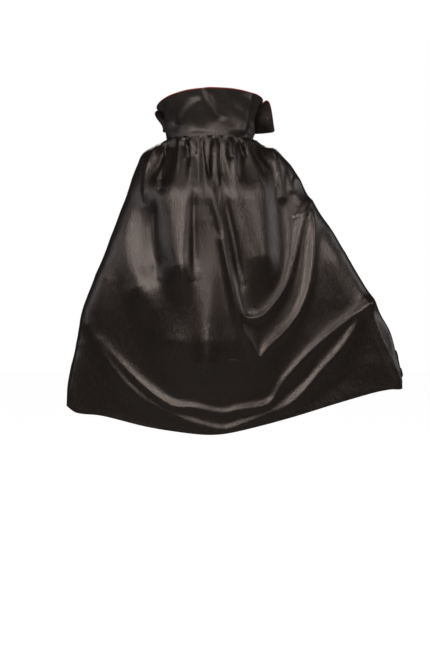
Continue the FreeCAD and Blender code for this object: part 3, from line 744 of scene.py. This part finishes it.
# hem and front facings: the same cloth turned in twice, lying on the inside
for side in ("left", "right"):
    s = 1 if side == "left" else -1
    c0, c1 = (.5, .985) if side == "left" else (.015, .5)
    fu = np.linspace(c0, c1, 150)[None, :]*np.ones((5, 1))
    fv = (1-np.linspace(.0125, .0004, 5)/SHEET_L)[:, None]*np.ones((1, 150))
    G, H = grid_at(P, N, fu, fv)
    uvh = np.stack([fu*SHEET_W, (1-fv)*SHEET_L], -1)
    ob = slab("hem_"+side, G, H, -.0022, -.0007, uvh, round_to=.0012)
    dress(ob, "cape_inside")
    cross_joint(ob)
    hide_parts(side+"_wing_hem", "back_hem")
    hems[side].append(ob)
    e0, e1 = (1-.0150, 1-.0004) if side == "left" else (.0004, .0150)
    fu = np.linspace(e0, e1, 5)[None, :]*np.ones((150, 1))
    fv = np.linspace(.02, .9996, 150)[:, None]*np.ones((1, 5))
    G, H = grid_at(P, N, fu, fv)
    ob = slab("front_facing_"+side, G, H, -.0024, -.0007, np.stack([fu*SHEET_W, (1-fv)*SHEET_L], -1), round_to=.0012)
    dress(ob, "cape_inside")
    cross_joint(ob)
    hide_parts(side+"_front_facing", side+"_neck_facing")
    hems[side].append(ob)
    # stitches that hold the hem, seen on the outside as a fine broken line
    k = np.arange(0.004, SHEET_W/2-.018, .0042)
    fu = .5+s*k/SHEET_W
    fv = np.full(len(fu), 1-.0108/SHEET_L)
    G, H = grid_at(P, N, fu, fv)
    G2, _ = grid_at(P, N, fu+s*.0008, fv)
    d = G2-G; d /= np.linalg.norm(d, axis=1, keepdims=True)+1e-12
    ob = stitch_mesh("hem_stitches_"+side, G+H*T_CLOTH, d, H, .0027, .0005, .0004)
    dress(ob, "sewing_thread")
    cross_joint(ob)
    hems[side].append(ob)
    k = np.arange(.03, SHEET_L-.008, .0042)
    fv = k/SHEET_L
    fu = np.full(len(fv), 1-.0128/SHEET_W if side == "left" else .0128/SHEET_W)
    G, H = grid_at(P, N, fu, fv)
    G2, _ = grid_at(P, N, fu, fv+.001)
    d = G2-G; d /= np.linalg.norm(d, axis=1, keepdims=True)+1e-12
    ob = stitch_mesh("front_stitches_"+side, G+H*T_CLOTH, d, H, .0027, .0005, .0004)
    dress(ob, "sewing_thread")
    cross_joint(ob)
    hems[side].append(ob)

# ------------------------------------------------------------------ collar
A0 = -math.degrees(math.acos(22/92)); A1, A2 = A0+3.4, -12.4
TILT = math.radians(7.2); ZMID = .101-.094*math.sin(TILT)
S1 = .26


def collar_point_at(t, s):
    """Middle surface of the collar: t from the left fold (0) round the back to the right fold (1), s from the neck seam to the top edge."""
    al = [np.radians(a+(180-2*a)*t) for a in (A0, A1, A2)]
    p0 = np.stack([.092*np.cos(al[0]), .074*np.sin(al[0]), 0*t], -1)
    p1 = np.stack([.092*np.cos(al[1]), .074*np.sin(al[1]), 0*t+.026], -1)
    deg = np.degrees(al[2])
    droop = np.interp(deg, [-13, 0, 20, 40, 65, 90, 115, 140, 180, 193], [-.024, -.023, -.019, -.013, -.007, -.004, -.004, -.006, -.008, -.012])
    p2 = np.stack([.113*np.cos(al[2]), .094*np.sin(al[2])*math.cos(TILT), ZMID+.094*np.sin(al[2])*math.sin(TILT)+droop], -1)
    lo = p0+(p1-p0)*(s/S1)[..., None]
    hi = p1+(p2-p1)*((s-S1)/(1-S1))[..., None]
    w = smoothstep(s, S1-.26, S1+.34)[..., None]
    return lo*(1-w)+hi*w


def collar_grid(t, s):
    Q = collar_point_at(t, s)
    d = 1e-3
    a = collar_point_at(t+d, s)-collar_point_at(t-d, s)
    b = collar_point_at(t, s+d)-collar_point_at(t, s-d)
    n = np.cross(a, b); n /= np.linalg.norm(n, axis=-1, keepdims=True)
    deg = A2+(180-2*A2)*t
    # soft dents and creases of interlined satin that has been folded in its packet
    h = .0022*np.sin(deg/17+3.2*s)*np.sin(3.4*s+1.1)+.0014*np.sin(deg/7.5-5*s)*np.sin(math.pi*s)+.0009*np.sin(deg/3.6+7*s+.6)*np.sin(6*s)

    def line(d0, d1, s0, s1, A, w, rise=1.0):
        f = np.clip((s-s0)/(s1-s0), 0, 1)
        c = d0+(d1-d0)*f
        return A*np.exp(-((deg-c)/w)**2)*smoothstep(s, min(s0, s1)-.12, min(s0, s1)+.05)*(1-smoothstep(s, max(s0, s1)-.05, max(s0, s1)+.12))
    h += line(116, 138, 0, 1.0, .0060, 8)           # where the right wing breaks away from the back
    h -= line(128, 150, 0, 1.0, .0060, 9)
    h += line(146, 160, .1, .9, .0040, 5)
    h += line(94, 82, .42, 1.0, .0036, 3.5)            # centre crease
    h -= line(100, 90, .40, 1.0, .0032, 5)
    h += line(62, 76, .35, .75, .0034, 6)
    h -= line(58, 50, .2, .6, .0032, 7)
    h += line(40, 34, .1, .7, .0026, 5)
    edge = smoothstep(s, 0, .12)*(1-.6*smoothstep(s, .85, 1.0))*smoothstep(t, 0, .06)*(1-smoothstep(t, .94, 1))
    Q = Q+n*(h*edge)[..., None]
    return Q, n


def renorm(Q):
    return normals(Q)


nt_, ns_ = 241, 41
tt, ss = np.meshgrid(np.linspace(0, 1, nt_), np.linspace(0, 1, ns_))
CQ, CN = collar_grid(tt, ss)
CN = renorm(CQ)
collar_uv = np.stack([tt*.52, ss*.105], -1)
for name, a, b, key in (("collar_back_outer", .0004, .0013, "collar_satin"), ("collar_back_interlining", -.0004, .0004, "interlining"), ("collar_back_lining", -.0013, -.0004, "red_lining")):
    inset = .0022 if "inter" in name else 0.0
    Q, n = CQ, CN
    if inset:
        t2, s2 = np.meshgrid(np.linspace(.006, .994, nt_), np.linspace(.01, .975, ns_))
        Q, _ = collar_grid(t2, s2); n = renorm(Q)
    ob = slab(name, Q, n, a, b, collar_uv, round_to=.0008 if not inset else 0)
    dress(ob, key)
    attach(ob, "root")
    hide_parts({"collar_back_outer": "collar_outer", "collar_back_interlining": "collar_interlining", "collar_back_lining": "collar_lining"}[name])

# the points (wings) of the collar: soft triangular flaps that turn on the fold lines
E_FOLD = {}
FLAPS = {}


def flap_grid(side, tip, bulge, ne=46, nx=36):
    """Rows up the fold line, columns from the fold line to the tip."""
    xi = np.linspace(0, 1, ne)
    t_edge = 0.0 if side == "left" else 1.0
    s = S1+(1-S1)*xi
    edge, en = collar_grid(np.full(ne, t_edge), s)
    et = np.linspace(0, .965, nx)
    lo, hi = edge[0], edge[-1]
    X, Y = np.meshgrid(et, xi)
    tip = np.array(tip)
    base = edge[:, None, :]*(1-X)[..., None]+tip*X[..., None]
    # let the lower edge sag a little
    base += np.array([0, 0, -.006])*(np.sin(math.pi*X)*(1-Y)**2)[..., None]
    base += bulge(X, Y)
    # a soft roll at the fold line: this comes out as zero and is not added to the flap
    roll = np.exp(-(X/.06)**2)*X*0
    return base, X, Y


def right_bulge(X, Y):
    d = np.array([-.25, .9, -.38])
    h = .0040*np.sin(math.pi*X)*np.sin(math.pi*Y)+.0022*np.sin(math.pi*X*2.2+.4)*np.sin(math.pi*Y*1.6+.8)*X*(1-X)*4
    top = np.array([-.0125, 0, .0150])*(np.sin(math.pi*X**.40)*Y**2.2)[..., None]
    return d*h[..., None]+top


def left_bulge(X, Y):
    a = np.array([.009, .012, .002])*(np.sin(math.pi*X**.50)*np.sin(math.pi*(np.clip(Y, 0, 1)**.9*.58+.22)))[..., None]
    b = np.array([.004, .010, .0])*(np.sin(2*math.pi*X)*Y)[..., None]
    return a+b


TIPS = {"right": (-.1405, -.046, .0200), "left": (.104, -.083, .024)}
for side in ("left", "right"):
    G, X, Y = flap_grid(side, TIPS[side], left_bulge if side == "left" else right_bulge)
    if side == "left":
        G, X, Y = G[:, ::-1], X[:, ::-1], Y[:, ::-1]
    n = normals(G)
    uv = np.stack([X*.09+.6, Y*.11], -1)
    s = 1 if side == "left" else -1
    lo, hi = np.array([.026*s, -.0715, .026]), np.array([.1095*s, -.025, .0855])
    e = (hi-lo)/np.linalg.norm(hi-lo)
    c = G.reshape(-1, 3).mean(0)-lo
    d = c-e*(c@e); d /= np.linalg.norm(d)
    st = (lo+hi)/2-d*.001; en = (lo+hi)/2+d*.016
    FLAPS[side] = (G, n, X, Y, st, en)
    for layer, a, b, key in (("outer", .0004, .0013, "collar_satin"), ("interlining", -.0004, .0004, "interlining"), ("lining", -.0013, -.0004, "red_lining")):
        Q, nn = G, n
        if layer == "interlining":
            r, q = slice(1, -2), slice(0, -2) if side == "right" else slice(2, None)
            Q, nn, u2 = G[r, q], n[r, q], uv[r, q]
        else: u2 = uv
        ob = slab("%s_wing_of_collar_%s" % (side, layer), Q, nn, a, b, u2, round_to=.0008 if layer != "interlining" else 0)
        dress(ob, key)
        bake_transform(ob)
        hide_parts("%s_point_%s" % (side, layer))

# red lining rolled over the top edge, with its overcast stitches
t = np.linspace(0.0, 1.0, 260)
top, _ = collar_grid(t, np.ones(260)); topn = CN[-1][np.linspace(0, nt_-1, 260).astype(int)]
upv = collar_point_at(t, np.ones(260))-collar_point_at(t, np.full(260, .97)); upv /= np.linalg.norm(upv, axis=1, keepdims=True)
path = top+upv*.0004-topn*.0003
ob = tube_mesh("collar_edge_piping", path, .0013, flat=1.0, side=upv)
dress(ob, "red_lining"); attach(ob, "root")
k = np.linspace(.012, .988, 128)
tp, _ = collar_grid(k, np.ones(128))
tn = np.stack([np.interp(k, t, topn[:, i]) for i in range(3)], 1)
uv_ = np.stack([np.interp(k, t, upv[:, i]) for i in range(3)], 1)
along = np.gradient(tp, axis=0); along /= np.linalg.norm(along, axis=1, keepdims=True)
slant = tn*.9+along*.45; slant /= np.linalg.norm(slant, axis=1, keepdims=True)
ob = stitch_mesh("collar_edge_stitches", tp+uv_*.0016, slant, uv_, .0034, .0007, .0005)
dress(ob, "sewing_thread"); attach(ob, "root"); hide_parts("collar_edge_stitching")
for side in ("left", "right"):
    G, n, X, Y, st, en = FLAPS[side]
    cols = slice(None)
    top = G[-1] if side == "right" else G[-1][::-1]
    tipc = G[:, -1][::-1] if side == "right" else G[:, 0][::-1]
    bot = (G[0][::-1] if side == "right" else G[0])
    path = np.vstack([top, tipc[1:], bot[1:]])
    nn = np.vstack([n[-1] if side == "right" else n[-1][::-1], (n[:, -1][::-1] if side == "right" else n[:, 0][::-1])[1:], (n[0][::-1] if side == "right" else n[0])[1:]])
    # resample evenly
    run = np.concatenate([[0], np.cumsum(np.linalg.norm(np.diff(path, axis=0), axis=1))])
    g = np.linspace(0, run[-1], 120)
    path = np.stack([np.interp(g, run, path[:, i]) for i in range(3)], 1)
    nn = np.stack([np.interp(g, run, nn[:, i]) for i in range(3)], 1)
    ob = tube_mesh("%s_wing_edge_piping" % side, path-nn*.0005, .0010, side=nn)
    dress(ob, "red_lining")
    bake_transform(ob)

# ------------------------------------------------------------------ neck seam
nb = 260
al = np.radians(np.linspace(A0, 180-A0, nb))


def band(off_a, off_b, z0, z1, start, end, name, key, nz=9, n=nb, wave=0.0, body="root", repl=(), rounding=.0006, uvscale=1.0):
    al = np.radians(np.linspace(start, end, n))
    zz = np.linspace(z0, z1, nz)
    A, Z = np.meshgrid(al, zz)
    mid_off = (off_a+off_b)/2
    w = wave*np.sin(A*23)*np.sin((Z-z0)/(z1-z0)*math.pi*.5+.4)
    Q = np.stack([(.092+mid_off+w)*np.cos(A), (.074+mid_off+w)*np.sin(A), Z+wave*.5*np.sin(A*17)], -1)
    nn = np.stack([np.cos(A)/.092, np.sin(A)/.074, 0*A], -1); nn /= np.linalg.norm(nn, axis=-1, keepdims=True)
    uv = np.stack([A*.083*uvscale, Z*uvscale], -1)
    h = (off_b-off_a)/2
    ob = slab(name, Q, nn, -h, h, uv, round_to=rounding)
    dress(ob, key)
    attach(ob, body)
    if repl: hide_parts(*repl)
    return ob


band(-.0043, -.0031, -.008, .008, A0, 180-A0, "neck_binding_tape", "binding_tape", wave=.0003, repl=("neck_binding",))
# gathering thread: runs in and out along the seam allowance
g = np.radians(np.linspace(A0+4, 176-A0, 700))
w = .0004*np.sin(g*120)
tube = np.stack([(.092-.0027+w)*np.cos(g), (.074-.0027+w)*np.sin(g), -.0027+0*g], -1)
ob = tube_mesh("gathering_thread_run", tube, .00028, nseg=6)
dress(ob, "sewing_thread"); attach(ob, "root"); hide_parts("gathering_thread")
# seam line stitches on the outside of the collar, just above the seam
k = np.radians(np.arange(-27, 207.1, 2.75))
sp = np.stack([(.092+.0016)*np.cos(k), (.074+.0016)*np.sin(k), .0022+0*k], -1)
sn = np.stack([np.cos(k)/.092, np.sin(k)/.074, 0*k], -1); sn /= np.linalg.norm(sn, axis=-1, keepdims=True)
sd = np.gradient(sp, axis=0); sd /= np.linalg.norm(sd, axis=1, keepdims=True)
ob = stitch_mesh("neck_seam_stitches", sp, sd, sn, .0027, .0006, .0005)
dress(ob, "sewing_thread"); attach(ob, "root"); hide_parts("neck_seam_stitching")

# ------------------------------------------------------------------ closure
def throat_deg(x):
    return -math.degrees(math.acos(x/92))


hinge = throat_deg(26)
band(.0016, .0030, .004, .020, hinge+1.2, throat_deg(46), "closure_tab_sewn_end", "collar_satin", n=24, repl=("closure_tab_end",), rounding=.0009)
tab = band(.0033, .0047, .004, .020, -180-throat_deg(48), hinge-.4, "closure_tab_strap", "collar_satin", n=70, body="closure_tab", repl=("closure_tab",), rounding=.0012)
band(.0016, .0022, .0055, .0185, -180-throat_deg(44), -180-throat_deg(24), "loop_patch_fuzzy", "loop_tape", n=30, repl=("loop_patch",), rounding=.0004)
band(.0026, .0033, .0055, .0185, -180-throat_deg(44), -180-throat_deg(24), "hook_patch_stiff", "hook_tape", n=30, body="closure_tab", repl=("hook_patch",), rounding=.0004)
# two rows of stitches, top and bottom, along the tab's sewn end and along the strap
def tab_stitches(name, start, end, off, body):
    pts, ds, ns = [], [], []
    for z in (.0055, .0185):
        for a in np.radians(np.arange(start, end, 1.9)):
            n = np.array([math.cos(a)/.092, math.sin(a)/.074, 0]); n /= np.linalg.norm(n)
            pts.append([(.092+off)*math.cos(a), (.074+off)*math.sin(a), z]); ns.append(n)
            ds.append(np.cross([0, 0, 1], n))
    ob = stitch_mesh(name, np.array(pts), np.array(ds), np.array(ns), .0022, .0005, .0004)
    dress(ob, "sewing_thread"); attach(ob, body)


tab_stitches("closure_tab_end_stitches", hinge+2.5, throat_deg(46)-1, .0031, "root")
tab_stitches("closure_tab_stitches", -180-throat_deg(46), hinge-2, .0048, "closure_tab")

# ------------------------------------------------------------------ blank care label inside the neck: a folded loop of woven tape
lx, lz = np.meshgrid(np.linspace(-.015, .015, 25), np.linspace(-.004, -.022, 19))
f = (lz+.004)/-.018
curl = -.0012*f**2*(1+.3*np.sin(lx*190))
LQ = np.stack([lx, .0682+curl, lz], -1)
ob = slab("care_label_blank", LQ, normals(LQ), -.0003, .0003, np.stack([lx, lz], -1), round_to=.0005)
dress(ob, "label_tape"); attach(ob, "root"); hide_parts("care_label")
lp = np.stack([np.linspace(-.0135, .0135, 10), np.full(10, .0678), np.full(10, -.0058)], 1)
ob = stitch_mesh("care_label_stitches", lp, np.tile([1.0, 0, 0], (10, 1)), np.tile([0, -1.0, 0], (10, 1)), .0020, .0005, .0004)
dress(ob, "sewing_thread"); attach(ob, "root")

# ------------------------------------------------------------------ stage
def plain(name, col, rough):
    mat, nt, b = new_material(name)
    no = node(nt, "ShaderNodeTexNoise"); no.inputs["Scale"].default_value = 2.0
    tc = node(nt, "ShaderNodeTexCoord"); nt.links.new(tc.outputs["Object"], no.inputs["Vector"])
    nt.links.new(ramp(nt, no.outputs["Fac"], [(.3, tuple(c*.985 for c in col)), (.7, col)]), b.inputs["Base Color"])
    b.inputs["Roughness"].default_value = rough
    return mat


floor = add_mesh("floor", np.array([(-14, -14, 0), (14, -14, 0), (14, 14, 0), (-14, 14, 0)], float)+np.array([0, 0, -1.047]), [(0, 1, 2, 3)])
paper = plain("floor_paper", (.34, .34, .34), .9)
pn = paper.node_tree
glow = pn.nodes.new("ShaderNodeEmission"); glow.inputs["Color"].default_value = (1, 1, 1, 1); glow.inputs["Strength"].default_value = .975
lpf = pn.nodes.new("ShaderNodeLightPath"); clear = pn.nodes.new("ShaderNodeMixShader"); add_ = pn.nodes.new("ShaderNodeAddShader")
black = pn.nodes.new("ShaderNodeEmission"); black.inputs["Strength"].default_value = 0.0
pn.links.new(lpf.outputs["Is Camera Ray"], clear.inputs[0]); pn.links.new(black.outputs[0], clear.inputs[1]); pn.links.new(glow.outputs[0], clear.inputs[2])
pn.links.new(pn.nodes["Principled BSDF"].outputs[0], add_.inputs[0]); pn.links.new(clear.outputs[0], add_.inputs[1])
pn.links.new(add_.outputs[0], pn.nodes["Material Output"].inputs["Surface"])
floor.data.materials.append(paper)

world = bpy.data.worlds.new("studio"); scene.world = world; world.use_nodes = True
bg = world.node_tree.nodes["Background"]
bg.inputs["Color"].default_value = (1, 1, 1, 1); bg.inputs["Strength"].default_value = .035
wn = world.node_tree
seen_bg = wn.nodes.new("ShaderNodeBackground"); seen_bg.inputs["Color"].default_value = (1, 1, 1, 1)
lp_ = wn.nodes.new("ShaderNodeLightPath"); mixw = wn.nodes.new("ShaderNodeMixShader")
wn.links.new(lp_.outputs["Is Camera Ray"], mixw.inputs[0]); wn.links.new(bg.outputs[0], mixw.inputs[1]); wn.links.new(seen_bg.outputs[0], mixw.inputs[2])
wn.links.new(mixw.outputs[0], wn.nodes["World Output"].inputs["Surface"])
scene.view_settings.view_transform = "Standard"


def softbox(name, at, aim, size, power, col=(1, 1, 1)):
    l = bpy.data.lights.new(name, "AREA"); l.shape = "RECTANGLE"; l.size, l.size_y = size; l.energy = power; l.color = col
    o = bpy.data.objects.new(name, l); scene.collection.objects.link(o); o.location = at
    o.rotation_euler = (Vector(aim)-Vector(at)).to_track_quat("-Z", "Y").to_euler()


WARM = (1, .965, .94)
softbox("main", (.25, 2.9, .62), (0, 0, -.25), (.75, .50), 25, WARM)
softbox("key", (1.6, 2.3, 1.0), (0, 0, -.30), (.6, .8), 21, WARM)
softbox("second", (-1.8, 2.2, .85), (0, 0, -.30), (.6, .8), 16, WARM)
softbox("top", (.1, 1.3, 2.1), (0, 0, -.2), (1.3, .7), 8, WARM)
softbox("edge", (-2.3, -.2, .4), (0, 0, -.2), (.6, 1.4), 8, (.93, .96, 1))
softbox("edge_left", (2.2, .5, .3), (.1, 0, .03), (.5, 1.0), 5, (.86, .92, 1))
softbox("front", (0, -2.6, 1.0), (0, 0, -.3), (2.0, 1.2), 22)

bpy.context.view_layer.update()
